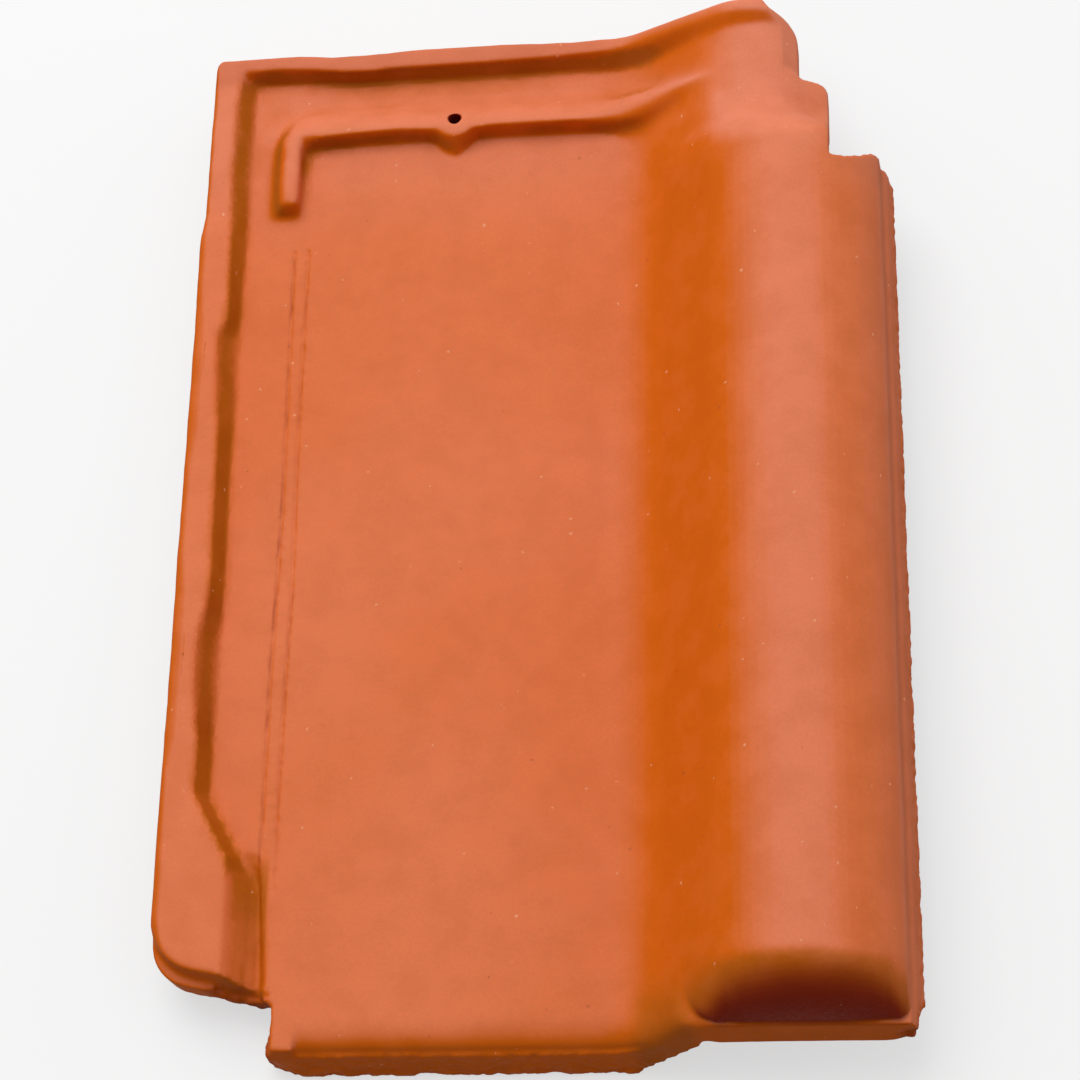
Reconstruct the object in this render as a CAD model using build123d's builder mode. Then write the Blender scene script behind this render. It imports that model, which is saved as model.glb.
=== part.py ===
from build123d import *
import math
import os

# Interlocking clay roof tile with one side roll, pressed and fired in one piece.
# A size in x is measured from the left side, an inset from the right side, a size in y from the
# tail edge, a lap back from the head edge, and a size in z from the top face of the pan.

# overall sizes, in millimetres
width = 258
length = 385
clay = 11.5
stand_height = 22
overrun = 10
band_sink = 1
quarter_turn = 90

# side roll: crown, slope towards the pan, with its angle in degrees, and outer side
crown_inset = 36
crown_z = 44
crown_radius = 41
slope_angle = 50
foot_radius = 30
shoulder_inset = 5.2
shoulder_z = 25
ledge_inset = 4.2
ledge_z = 14
ledge_step = 1.6
cover_edge_z = 2.5
cover_wall = 10
under_shoulder_shares = (0.9, 0.4)

# lowered roll at the head, under the lap of the tile above
head_lap = 40
swell_length = 28
head_crown_inset = 50
head_crown_z = 26
head_crown_radius = 30
head_shoulder_inset = 32
head_shoulder_z = 19.5
head_wall_inset = 21
head_wall_z = 13
head_under_shares = (0.6, 0.8)
swell_place_shares = (0, 0.2, 0.4, 0.6, 0.8, 1)

# steep side of the lowered roll near the head edge
head_side_lap = 28
head_side_top_inset = 39
head_side_top_z = 24
head_side_foot_inset = 32.5
head_side_foot_z = 17

# side lock on the left: outer rib and drain channel with two fine lines
rib_height = 8
rib_top_width = 12.4
rib_foot_x = 17
rib_rounding = 2.4
pan_left = 42
line_places = (36, 40.4)
line_tails = (72, 58)
line_head_lap = 80
line_width = 1.8
line_depth = 0.8

# drain pad and outlet at the tail end of the side lock
lock_tail = 20.5
lock_slant = 8.5
lobe_radius = 15
pad_ledge = 2.5
pad_side = -1.6
pad_lobe_radius = 22
pad_edge_draft = 8
pad_foot_x = 31
pad_straight = 70
pad_end_x = 12
pad_end_y = 105
pad_draft = 20
ramp_foot_x = 38
outlet_start = 72
outlet_foot = 58
outlet_fall = 5
outlet_depth = 6.5
outlet_left = 22
outlet_right = 37.5
outlet_wall = 3
outlet_edge = 0.4

# head lock: rim along the head edge, inner rib and its leg
rim_top_width = 5.2
rim_foot_width = 11
rim_roll_height = 3.5
inner_back_foot_lap = 19
inner_back_top_lap = 29
inner_front_top_lap = 36
inner_front_foot_lap = 41.5
inner_sink = 0.1
leg_left = 25.2
leg_right = 40.4
leg_lap = 70
leg_draft = 29.5

# nail hole in its boss on the inner rib
nail_x = 95.5
nail_lap = 31
nail_hole_radius = 2.6
boss_radius = 13

# outline at the roll's side: cut corners at the head and a cut corner at the tail
side_notch_lap = 68.5
side_notch_slant = 6.5
side_notch_inset = 22.5
side_notch_corner = 3.5
top_notch_lap = 30
top_notch_inset = 33
top_notch_corner = 4
head_corner = 10
head_setback = 4.2
head_setback_width = 2.5
rim_end_inset = 45.5
left_corner = 4
left_step = 1.3
left_step_lap = 76
left_step_length = 9
tail_cut_width = 4.5
tail_cut_length = 16
tail_corner_width = 9
tail_corner_length = 3.5

# turned-down tail: rounded noses, lip lines and front face
draft_share = 0.2
tail_wall = 12
lip_width = 1.5
lip_drop = 5.5
nose_start = 15
nose_left = 50
roll_lip_z = 16
roll_nose_start = 28
roll_nose_turn = 89
hollow_tail = 16
hollow_start = 36
face_slant_inset = 95

# underside: hanging nibs and tail lock rib
left_nib_x = 64
right_nib_inset = 116
nib_width = 28
nib_lap = 34
nib_depth = 18
nib_foot_depth = 12
lock_rib_y = 27
lock_rib_left = 48
lock_rib_inset = 108
lock_rib_width = 8
lock_rib_height = 6
lock_rib_draft = 8

# places that follow from the sizes, the foot of the roll's slope first
slope_turn = math.radians(slope_angle)
slope_radii = foot_radius + crown_radius
slope_straight = (crown_z - slope_radii * (1 - math.cos(slope_turn))) / math.sin(slope_turn)
slope_reach = slope_radii * math.sin(slope_turn) + slope_straight * math.cos(slope_turn)
roll_foot_x = width - crown_inset - slope_reach
side_notch_x = width - side_notch_inset
top_notch_x = width - top_notch_inset
face_slant_x = width - face_slant_inset
head_start = length - head_lap
swell_start = head_start - swell_length
side_notch_y = length - side_notch_lap
nail_y = length - nail_lap
nib_y = length - nib_lap
roll_nose_reach = roll_nose_start - (roll_lip_z + stand_height) * draft_share - lip_width
pan_lip_reach = (stand_height - lip_drop) * draft_share


def section_plane(y):
    return Plane(origin=(-width / 2, y - length / 2, stand_height), x_dir=(1, 0, 0), z_dir=(0, -1, 0))


def side_plane(x):
    return Plane(origin=(x - width / 2, -length / 2, stand_height), x_dir=(0, 1, 0), z_dir=(1, 0, 0))


def level_plane(z):
    return Plane(origin=(-width / 2, -length / 2, stand_height + z))


# top line of the tile across its width, from the left side to the roll's outer ledge: the level
# pan, the hollow foot of the roll, its straight slope, its crown, and its outer side
def top_line(foot, crown, low_radius, high_radius, shoulder, ledge, rise=0):
    start = (-overrun, foot[1])
    radii = low_radius + high_radius
    reach = crown[0] - foot[0]
    climb = crown[1] - foot[1] - radii
    span = math.hypot(reach, climb)
    steepness = math.degrees(math.atan2(climb, reach) + math.asin(radii / span))
    straight = math.sqrt(span**2 - radii**2)
    with BuildLine() as line:
        Line(start, foot)
        low_arc = JernArc(foot, (1, 0), low_radius, steepness)
        slope = Line(low_arc @ 1, low_arc @ 1 + (low_arc % 1) * straight)
        JernArc(slope @ 1, slope % 1, high_radius, -steepness)
        TangentArc(crown, shoulder, tangent=(1, 0))
        Line(shoulder, ledge)
    return line.line.moved(Location((0, rise)))


# value at a share of the way from the full roll to the lowered one
def part_way(share, full, lowered):
    return full + (lowered - full) * share


# top line of the full roll, of the lowered one where the share is 1, or of the swell between them
def roll_line(share=0, rise=0, sink=0):
    crown_x = width - part_way(share, crown_inset, head_crown_inset)
    shoulder_x = width - part_way(share, shoulder_inset, head_shoulder_inset)
    ledge_x = width - part_way(share, ledge_inset, head_wall_inset)
    return top_line(
        (roll_foot_x, 0),
        (crown_x, part_way(share, crown_z, head_crown_z) - sink),
        foot_radius,
        part_way(share, crown_radius, head_crown_radius),
        (shoulder_x, part_way(share, shoulder_z, head_shoulder_z) - sink),
        (ledge_x, part_way(share, ledge_z, head_wall_z) - sink),
        rise,
    )


# closed section from the roll's top line down to the floor
def block_section(share=0):
    floor = -stand_height
    line = roll_line(share)
    edge_x = width - part_way(share, 0, head_wall_inset - ledge_inset)
    ledge = line.edges().sort_by(Axis.X)[-1] @ 1
    step = ledge + Vector(ledge_step, -ledge_step)
    with BuildSketch() as section:
        with BuildLine():
            add(line)
            corners = (line.edges().sort_by(Axis.X)[0] @ 0, (-overrun, floor), (edge_x, floor))
            Polyline(*corners, (edge_x, cover_edge_z), step, ledge)
        make_face()
    return section.sketch


# closed section of a band that stands on the top face, sunk a little into it
def band_section(line, depth):
    low = line.moved(Location((0, -depth)))
    with BuildSketch() as section:
        with BuildLine():
            add(line)
            add(low)
            Line(line.edges().sort_by(Axis.X)[0] @ 0, low.edges().sort_by(Axis.X)[0] @ 0)
            Line(line.edges().sort_by(Axis.X)[-1] @ 1, low.edges().sort_by(Axis.X)[-1] @ 1)
        make_face()
    return section.sketch


# closed section of the open space under the tile, one thickness of clay below the top line
def under_section(share=0):
    floor = -stand_height - overrun - overrun
    across = part_way(share, under_shoulder_shares[0], head_under_shares[0])
    down = part_way(share, under_shoulder_shares[1], head_under_shares[1])
    crown_x = width - part_way(share, crown_inset, head_crown_inset)
    shoulder_x = width - part_way(share, shoulder_inset, head_shoulder_inset) - clay * across
    wall = (width - part_way(share, cover_wall, head_wall_inset), cover_edge_z)
    line = top_line(
        (roll_foot_x, -clay),
        (crown_x, part_way(share, crown_z, head_crown_z) - clay),
        foot_radius + clay,
        part_way(share, crown_radius, head_crown_radius) - clay,
        (shoulder_x, part_way(share, shoulder_z, head_shoulder_z) - clay * down),
        wall,
    )
    edge_x = width + overrun
    with BuildSketch() as section:
        with BuildLine():
            add(line)
            corners = (line.edges().sort_by(Axis.X)[0] @ 0, (-overrun, floor), (edge_x, floor))
            Polyline(*corners, (edge_x, cover_edge_z), wall)
        make_face()
    return section.sketch


# place and shape of each section of the swell, which sets off and ends level
swell_steps = [
    (swell_start + swell_length * share, (1 - math.cos(math.pi * share)) / 2)
    for share in swell_place_shares
]

# block under the top face: full roll, swell down to the head, and lowered roll
with BuildPart() as top_block:
    with BuildSketch(section_plane(0)):
        add(block_section())
    extrude(amount=-swell_start)
    for place, share in swell_steps:
        with BuildSketch(section_plane(place)):
            add(block_section(share))
    loft()
    with BuildSketch(section_plane(head_start)):
        add(block_section(1))
    extrude(amount=head_start - length)

# rim that follows the head edge over the pan and, lower, over the roll
roll_drop = rib_height - rim_roll_height
rim_steps = (
    (length + overrun, rib_height, roll_drop),
    (length - rim_top_width, rib_height, roll_drop),
    (length - rim_foot_width, -band_sink, 0),
)
with BuildPart() as rim:
    for place, rise, drop in rim_steps:
        with BuildSketch(section_plane(place)):
            add(band_section(roll_line(1, rise, drop), rise + band_sink + band_sink))
    loft(ruled=True)

# inner rib, level over the pan and dying out against the roll
rib_steps = (
    (inner_back_foot_lap, -band_sink),
    (inner_back_top_lap, rib_height),
    (inner_front_top_lap, rib_height),
    (inner_front_foot_lap, -band_sink),
)
with BuildPart() as inner_rib:
    for lap, rise in rib_steps:
        with BuildSketch(section_plane(length - lap)):
            line = roll_line(1, rise, rib_height + inner_sink)
            add(band_section(line, rise + band_sink + band_sink))
    loft(ruled=True)
    with BuildSketch(level_plane(-stand_height)):
        with Locations(((leg_left + leg_right) / 2, 0)):
            Rectangle(width, length, align=Align.MIN)
    extrude(amount=stand_height + crown_z + overrun, mode=Mode.INTERSECT)

# steep side that ends the rim and the lowered roll
with BuildPart() as head_side:
    with BuildSketch(section_plane(length + overrun)):
        crest = Vector(width - head_side_top_inset, head_side_top_z)
        fall = Vector(width - head_side_foot_inset, head_side_foot_z) - crest
        high = crest - fall
        low = crest + fall + fall
        with BuildLine():
            Polyline(high, low, (width + overrun, low.Y), (width + overrun, high.Y), close=True)
        make_face()
    extrude(amount=head_side_lap + overrun)

# outer rib of the side lock, from the drain pad to the head
with BuildPart() as side_rib:
    with BuildSketch(section_plane(pad_straight)) as profile:
        with BuildLine():
            Polyline(
                (0, -band_sink),
                (0, rib_height),
                (rib_top_width, rib_height),
                (rib_foot_x, 0),
                (rib_foot_x, -band_sink),
                close=True,
            )
        make_face()
        fillet(profile.vertices().group_by(Axis.Y)[-1], rib_rounding)
    extrude(amount=pad_straight - length + rim_top_width)

# drain pad that widens the rib at its tail end: one slope towards the channel, a wider ramp into
# the outlet, and a steeper edge round its lobe
pad_crest_x = pad_foot_x - (outlet_depth + rib_height) * math.tan(math.radians(pad_draft))
ramp_steps = ((pad_straight, pad_foot_x), (outlet_foot, ramp_foot_x), (-overrun, ramp_foot_x))
with BuildPart() as pad:
    with BuildSketch(level_plane(-outlet_depth)):
        with BuildLine():
            Polyline(
                (-pad_foot_x, -overrun),
                (pad_foot_x, -overrun),
                (pad_foot_x, pad_straight),
                (pad_end_x, pad_end_y),
                (-pad_foot_x, pad_end_y),
                close=True,
            )
        make_face()
    extrude(amount=outlet_depth + rib_height, taper=pad_draft)
    for place, foot in ramp_steps:
        with BuildSketch(section_plane(place)):
            with BuildLine():
                Polyline(
                    (-pad_foot_x, -outlet_depth),
                    (foot, -outlet_depth),
                    (pad_crest_x, rib_height),
                    (-pad_foot_x, rib_height),
                    close=True,
                )
            make_face()
    loft(ruled=True)
with BuildPart() as pad_edge:
    with BuildSketch(level_plane(-outlet_depth)) as profile:
        tail = lock_tail + pad_ledge
        with BuildLine():
            Polyline(
                (pad_side, tail + lock_slant),
                (pan_left, tail),
                (pan_left, pad_end_y + overrun),
                (pad_side, pad_end_y + overrun),
                close=True,
            )
        make_face()
        fillet(profile.vertices().sort_by_distance((pad_side, tail))[0], pad_lobe_radius)
    extrude(amount=outlet_depth + rib_height, taper=pad_edge_draft)
    add(pad.part, mode=Mode.INTERSECT)

# drain outlet: a trough that falls away beside the pad towards the tail
outlet_steps = (
    (outlet_start, outlet_right, outlet_edge),
    (outlet_foot, outlet_right, outlet_fall),
    (-overrun, pan_left, outlet_depth),
)
with BuildPart() as outlet:
    for place, right, depth in outlet_steps:
        with BuildSketch(section_plane(place)):
            with BuildLine():
                Polyline(
                    (outlet_left, overrun),
                    (outlet_left, -depth),
                    (right - outlet_wall, -depth),
                    (right, 0),
                    (right, overrun),
                    close=True,
                )
            make_face()
    loft(ruled=True)

# leg of the inner rib, with sloping sides
with BuildPart() as leg:
    with BuildSketch(level_plane(-band_sink)):
        with Locations((leg_left, length - leg_lap)):
            Rectangle(leg_right - leg_left, leg_lap - inner_back_top_lap, align=Align.MIN)
    extrude(amount=band_sink + rib_height, taper=leg_draft)

# boss round the nail hole
with BuildPart() as boss:
    with BuildSketch(level_plane(-band_sink)):
        with Locations((nail_x, nail_y)):
            Circle(boss_radius)
    extrude(amount=band_sink + rib_height, taper=leg_draft)

# fine lines pressed into the channel floor beside the pan
with BuildPart() as lines:
    for place, tail in zip(line_places, line_tails):
        with BuildSketch(section_plane(tail)):
            with Locations((place, 0)):
                Rectangle(line_width, line_depth + line_depth)
        extrude(amount=tail + line_head_lap - length)

# outline seen from above
with BuildPart() as outline:
    with BuildSketch(level_plane(-stand_height - overrun)) as plan:
        with BuildLine():
            Polyline(
                (pan_left, tail_corner_length),
                (pan_left + tail_corner_width, 0),
                (width - tail_cut_width, 0),
                (width, tail_cut_length),
                (width, side_notch_y),
                (side_notch_x, side_notch_y - side_notch_slant),
                (side_notch_x, length - top_notch_lap),
                (top_notch_x, length - top_notch_lap),
                (top_notch_x, length - head_setback),
                (width - rim_end_inset + head_setback_width, length - head_setback),
                (width - rim_end_inset, length),
                (left_step, length),
                (left_step, length - left_step_lap + left_step_length),
                (0, length - left_step_lap),
                (0, lock_tail + lock_slant),
                (pan_left, lock_tail),
                close=True,
            )
        make_face()
        fillet(plan.vertices().sort_by_distance((0, lock_tail))[0], lobe_radius)
        fillet(plan.vertices().sort_by_distance((left_step, length))[0], left_corner)
        corner = (top_notch_x, length - head_setback)
        fillet(plan.vertices().sort_by_distance(corner)[0], head_corner)
        fillet(plan.vertices().sort_by_distance((width, side_notch_y))[0], side_notch_corner)
        corner = (side_notch_x, length - top_notch_lap)
        fillet(plan.vertices().sort_by_distance(corner)[0], top_notch_corner)
    extrude(amount=stand_height + crown_z + overrun + overrun)

# front face with its draft, cut over the whole width
with BuildPart() as front:
    with BuildSketch(side_plane(-overrun)):
        low = -stand_height - overrun
        high = crown_z + overrun
        with BuildLine():
            Polyline(
                (-overrun, low),
                (-overrun * draft_share, low),
                ((high + stand_height) * draft_share, high),
                (-overrun, high),
                close=True,
            )
        make_face()
    extrude(amount=width + overrun + overrun)


# rounded closed end of the roll: its section, which falls to the lip along a quarter ellipse
with BuildPart() as nose_room:
    with BuildSketch(side_plane(-overrun)):
        with Locations((-overrun, roll_lip_z)):
            Rectangle(roll_nose_start + overrun, crown_z, align=Align.MIN)
    extrude(amount=width + overrun + overrun)
with BuildPart() as roll_nose:
    with BuildLine(side_plane(width - crown_inset)) as nose_path:
        EllipticalCenterArc(
            (roll_nose_start, roll_lip_z),
            roll_nose_reach,
            crown_z - roll_lip_z,
            start_angle=quarter_turn,
            arc_size=roll_nose_turn,
        )
    with BuildSketch(section_plane(roll_nose_start)):
        add(block_section())
    sweep(path=nose_path.line, normal=(0, 1, 0))
    add(nose_room.part, mode=Mode.INTERSECT)

# rounding of the pan's tail edge, carried up the roll's slope
with BuildPart() as pan_nose:
    with BuildLine() as tail_path:
        pan_edge, foot_arc, slope = roll_line().edges().sort_by(Axis.X)[0:3]
        Line((nose_left, 0), pan_edge @ 1)
        add(foot_arc)
        add(slope)
    with BuildSketch(side_plane(nose_left)):
        with BuildLine():
            EllipticalCenterArc(
                (nose_start, -lip_drop),
                nose_start - pan_lip_reach - lip_width,
                lip_drop,
                start_angle=quarter_turn,
                arc_size=quarter_turn,
            )
            Polyline(
                (pan_lip_reach + lip_width, -lip_drop),
                (-overrun, -lip_drop),
                (-overrun, overrun),
                (nose_start, overrun),
                (nose_start, 0),
            )
        make_face()
    sweep(path=tail_path.line.moved(section_plane(0).location))

# clay that closes the roll's hollow behind the nose, rounded as the nose is
with BuildPart() as hollow_end:
    with BuildSketch(side_plane(-overrun)):
        with BuildLine():
            arc = EllipticalCenterArc(
                (hollow_start, cover_edge_z),
                hollow_start - hollow_tail,
                crown_z - clay - cover_edge_z,
                start_angle=quarter_turn,
                arc_size=quarter_turn,
            )
            Polyline(arc @ 1, (0, cover_edge_z), (0, crown_z), (hollow_start, crown_z), arc @ 0)
        make_face()
    extrude(amount=width + overrun + overrun)

# open space under the pan and the roll
with BuildPart() as space:
    with BuildSketch(section_plane(tail_wall)):
        add(under_section())
    extrude(amount=tail_wall - swell_start)
    for place, share in swell_steps:
        with BuildSketch(section_plane(place)):
            add(under_section(share))
    loft()
    with BuildSketch(section_plane(head_start)):
        add(under_section(1))
    extrude(amount=head_start - length - overrun)
    add(hollow_end.part, mode=Mode.SUBTRACT)

# space in front of and under the roll's closed end
with BuildPart() as roll_clearance:
    with BuildSketch(section_plane(-overrun)):
        rise = stand_height + cover_edge_z
        with BuildLine():
            Polyline(
                (face_slant_x, -stand_height),
                (face_slant_x + rise, cover_edge_z),
                (width + overrun, cover_edge_z),
                (width + overrun, -stand_height - overrun),
                (face_slant_x, -stand_height - overrun),
                close=True,
            )
        make_face()
    extrude(amount=-length)

# nibs that hang on the batten
with BuildPart() as nibs:
    for place in (left_nib_x, width - right_nib_inset):
        with BuildSketch(side_plane(place - nib_width / 2)):
            with BuildLine():
                Polyline(
                    (nib_y, -clay + band_sink),
                    (nib_y, -stand_height),
                    (nib_y + nib_foot_depth, -stand_height),
                    (nib_y + nib_depth, -clay),
                    (nib_y + nib_depth, -clay + band_sink),
                    close=True,
                )
            make_face()
        extrude(amount=nib_width)

# rib of the tail lock, which drops into the head channel of the tile below
with BuildPart() as lock_rib:
    with BuildSketch(level_plane(-clay + band_sink)):
        with Locations((lock_rib_left, lock_rib_y - lock_rib_width / 2)):
            Rectangle(width - lock_rib_inset - lock_rib_left, lock_rib_width, align=Align.MIN)
    extrude(amount=-lock_rib_height - band_sink, taper=lock_rib_draft)

# the whole tile
with BuildPart() as roof_tile:
    add(top_block.part)
    add(rim.part)
    add(inner_rib.part)
    add(head_side.part, mode=Mode.SUBTRACT)
    add(outlet.part, mode=Mode.SUBTRACT)
    add(lines.part, mode=Mode.SUBTRACT)
    add(side_rib.part)
    add(pad_edge.part)
    add(leg.part)
    add(boss.part)
    add(outline.part, mode=Mode.INTERSECT)
    add(nose_room.part, mode=Mode.SUBTRACT)
    add(roll_nose.part)
    add(front.part, mode=Mode.SUBTRACT)
    add(pan_nose.part, mode=Mode.SUBTRACT)
    add(space.part, mode=Mode.SUBTRACT)
    add(roll_clearance.part, mode=Mode.SUBTRACT)
    add(nibs.part)
    add(lock_rib.part)
    with Locations(level_plane(rib_height)):
        with Locations((nail_x, nail_y)):
            Hole(nail_hole_radius)

roof_tile.part.label = "roof_tile"
os.makedirs("parts", exist_ok=True)
export_step(roof_tile.part, "parts/roof_tile.step")
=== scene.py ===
import bpy, math
import numpy as np
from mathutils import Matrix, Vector
from mathutils.bvhtree import BVHTree
from mathutils.kdtree import KDTree


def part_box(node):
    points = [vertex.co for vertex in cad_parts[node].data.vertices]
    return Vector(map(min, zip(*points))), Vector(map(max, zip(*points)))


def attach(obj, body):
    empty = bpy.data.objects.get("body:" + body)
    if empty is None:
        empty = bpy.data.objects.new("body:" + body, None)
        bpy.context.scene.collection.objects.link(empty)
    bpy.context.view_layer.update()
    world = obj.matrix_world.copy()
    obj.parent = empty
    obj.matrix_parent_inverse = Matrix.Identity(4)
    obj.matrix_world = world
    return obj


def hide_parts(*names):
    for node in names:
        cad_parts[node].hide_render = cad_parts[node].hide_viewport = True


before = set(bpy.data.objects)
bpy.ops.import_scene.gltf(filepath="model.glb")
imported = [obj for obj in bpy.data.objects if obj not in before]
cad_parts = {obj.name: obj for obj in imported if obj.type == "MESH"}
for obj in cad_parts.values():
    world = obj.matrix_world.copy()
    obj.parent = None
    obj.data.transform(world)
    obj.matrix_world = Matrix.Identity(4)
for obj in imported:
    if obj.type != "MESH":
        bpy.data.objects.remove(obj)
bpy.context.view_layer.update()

# clay roof tile: the imported tile is copied, pushed about like wet clay, roughened at its burrs,
# coloured as fired clay with painted light and shade on it, and lit on a pale floor
# places on it are in the tile's own measure: millimetres x from the left side, y from the tail
# edge and z from the pan's top

scene = bpy.context.scene
scene.view_settings.view_transform = "Standard"

low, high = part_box("roof_tile")
standHeight = 22  # millimetres from the floor to the pan's top
tileWidth = (high.x - low.x) * 1000
tileLength = (high.y - low.y) * 1000
tileHeight = high.z * 1000 - standHeight
weightSteps = 16  # of a painted vertex group


def deselectAll():
    for thing in bpy.context.selected_objects:
        thing.select_set(False)


def makeActive(piece):
    deselectAll()
    piece.select_set(True)
    bpy.context.view_layer.objects.active = piece


def applyModifier(piece, kind, **settings):
    makeActive(piece)
    bpy.ops.object.modifier_add(type=kind)
    modifier = piece.modifiers[-1]
    for name, value in settings.items():
        setattr(modifier, name, value)
    bpy.ops.object.modifier_apply(modifier=modifier.name)


def readVertices(mesh, what):
    values = np.empty(len(mesh.vertices) * 3, np.float32)
    mesh.vertices.foreach_get(what, values)
    return values.reshape(-1, 3).astype(float)


def readTile(mesh):
    points = readVertices(mesh, "co") * 1000
    return points[:, 0] - low.x * 1000, points[:, 1] - low.y * 1000, points[:, 2] - standHeight


def writeTile(mesh, x, y, z):
    points = np.stack([x + low.x * 1000, y + low.y * 1000, z + standHeight], axis=1) / 1000
    mesh.vertices.foreach_set("co", points.astype(np.float32).ravel())
    mesh.update()


def ease(value, start, end):  # 0 before start, 1 after end, smooth between
    share = np.clip((value - start) / (end - start), 0, 1)
    return share * share * (3 - 2 * share)


def band(value, start, full, fall, end):  # rises from start to full, falls from fall to end
    return ease(value, start, full) * (1 - ease(value, fall, end))


def mixed(first, second, share):  # the first where share is 0, the second where it is 1
    return first * (1 - share) + second * share


def greatest(*masks):  # of several masks, at each point
    return np.maximum.reduce(masks)


def follow(value, stops):  # a line through given points: {place: amount}
    places = sorted(stops)
    return np.interp(value, places, [stops[place] for place in places])


def paintWeights(piece, name, weights):  # a vertex group, in even steps of weight
    group = piece.vertex_groups.new(name=name)
    steps = np.rint(np.clip(weights, 0, 1) * weightSteps).astype(int)
    for step in range(1, weightSteps + 1):
        chosen = np.nonzero(steps == step)[0]
        if len(chosen):
            group.add(chosen.tolist(), step / weightSteps, "REPLACE")
    return group


def softenWhere(piece, weights, factor, times):
    group = paintWeights(piece, "soften", weights)
    applyModifier(piece, "SMOOTH", vertex_group=group.name, factor=factor, iterations=times)
    piece.vertex_groups.remove(piece.vertex_groups["soften"])


def roughenWhere(piece, weights, size, strength, depth=2, middle=0.5):  # size and strength in mm
    cloud = bpy.data.textures.new("lumps", "CLOUDS")
    cloud.noise_scale = size / 1000
    cloud.noise_depth = depth
    group = paintWeights(piece, "roughen", weights)
    applyModifier(piece, "DISPLACE", texture=cloud, texture_coords="LOCAL", direction="NORMAL",
                  vertex_group=group.name, strength=strength / 1000, mid_level=middle)
    piece.vertex_groups.remove(piece.vertex_groups["roughen"])


# camera
print("camera")
cameraValues = {
    "place": (0.12093, -0.36541, 0.87837),
    "turnDegrees": (22.5541, 7.5790, 0.9694),
    "lens": 88.53,
    "sensor": 36,
}
bpy.ops.object.camera_add(location=cameraValues["place"])
camera = bpy.context.object
camera.name = "camera"
camera.rotation_euler = [math.radians(turn) for turn in cameraValues["turnDegrees"]]
camera.data.lens = cameraValues["lens"]
camera.data.sensor_width = cameraValues["sensor"]
camera.data.dof.use_dof = False
scene.camera = camera

# the pressed body, as one skin of small even faces
print("body")
bodyValues = {
    "sameSpot": 0.00001,
    "voxel": 0.0008,
    "mostTriangles": 190000,
    "footFade": (-6, -1),  # heights over which the pushes on the locks fade out downwards
}
makeActive(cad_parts["roof_tile"])
bpy.ops.object.duplicate()
tile = bpy.context.object
tile.name = "clay_tile"
tile.data = tile.data.copy()
tile.data.materials.clear()
tile.parent = None
for key in list(tile.keys()):
    del tile[key]
makeActive(tile)
bpy.ops.object.mode_set(mode="EDIT")
bpy.ops.mesh.select_all(action="SELECT")
bpy.ops.mesh.remove_doubles(threshold=bodyValues["sameSpot"])
bpy.ops.object.mode_set(mode="OBJECT")
applyModifier(tile, "REMESH", mode="VOXEL", voxel_size=bodyValues["voxel"], adaptivity=0)
print("body faces", len(tile.data.polygons))

# head lock: the walls of the rim and of the inner rib wander, by other amounts at foot and top
print("head lock")
headLockValues = {
    "rimHeight": 7.5,
    "rimTopEdge": {16: -0.6, 28: -0.2, 41: -1.2, 53: -2.8, 64: -3.0, 73: -2.3, 106: -2.1, 135: -1.4,
                   160: 0},
    "rimFoot": {20: 2.5, 39: 2.4, 56: 1.6, 72: 1.4, 88: 0.8, 129: 1.2, 165: 0},
    "rimOutside": {11: 0, 35: 0, 47: -1.2, 58: -1.2, 70: -0.9, 82: 0, 116: 0, 128: -0.7, 139: -0.7,
                   150: -0.2},
    "rimInnerFace": (365, 373),
    "rimOuterFace": (380.5, 384.5),
    "rimLeftEnd": (4, 14),
    "rimRollEnd": (150, 175),
    "ribHeight": 8,
    "ribTopEdge": {42: -0.8, 58: 0.3, 74: 0.9, 86: 0.1, 101: -0.3, 110: 0.7, 140: 0.8, 160: 0.4,
                   174: 3.5, 185: 6, 195: 7},
    "ribFoot": {30: 2.5, 45: 3.5, 57: 4.1, 85: 4.6, 91: 1.5, 96: 0, 101: 3.0, 105: 4.8, 140: 4.6,
                168: 3.6, 185: 4},
    "ribFace": (333, 343.5, 349.5, 360),
    "ribAlong": (34, 43, 192, 202),
    "ribOntoRoll": (150, 172),
}
x, y, z = readTile(tile.data)
above = ease(z, *bodyValues["footFade"])
rise = np.clip(z / headLockValues["rimHeight"], 0, 1)
inner = mixed(follow(x, headLockValues["rimFoot"]), follow(x, headLockValues["rimTopEdge"]), rise)
outside = ease(y, *headLockValues["rimOuterFace"])
rimAlong = 1 - ease(x, *headLockValues["rimRollEnd"])
rimPush = (inner * (1 - outside) * above * ease(y, *headLockValues["rimInnerFace"])
           + follow(x, headLockValues["rimOutside"]) * outside)
y = y + rimPush * rimAlong * ease(x, *headLockValues["rimLeftEnd"])
rise = np.clip(z / headLockValues["ribHeight"], 0, 1)
rise = greatest(rise, ease(x, *headLockValues["ribOntoRoll"]))
ribPush = mixed(follow(x, headLockValues["ribFoot"]), follow(x, headLockValues["ribTopEdge"]), rise)
y = y + ribPush * above * band(y, *headLockValues["ribFace"]) * band(x, *headLockValues["ribAlong"])
writeTile(tile.data, x, y, z)

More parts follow.
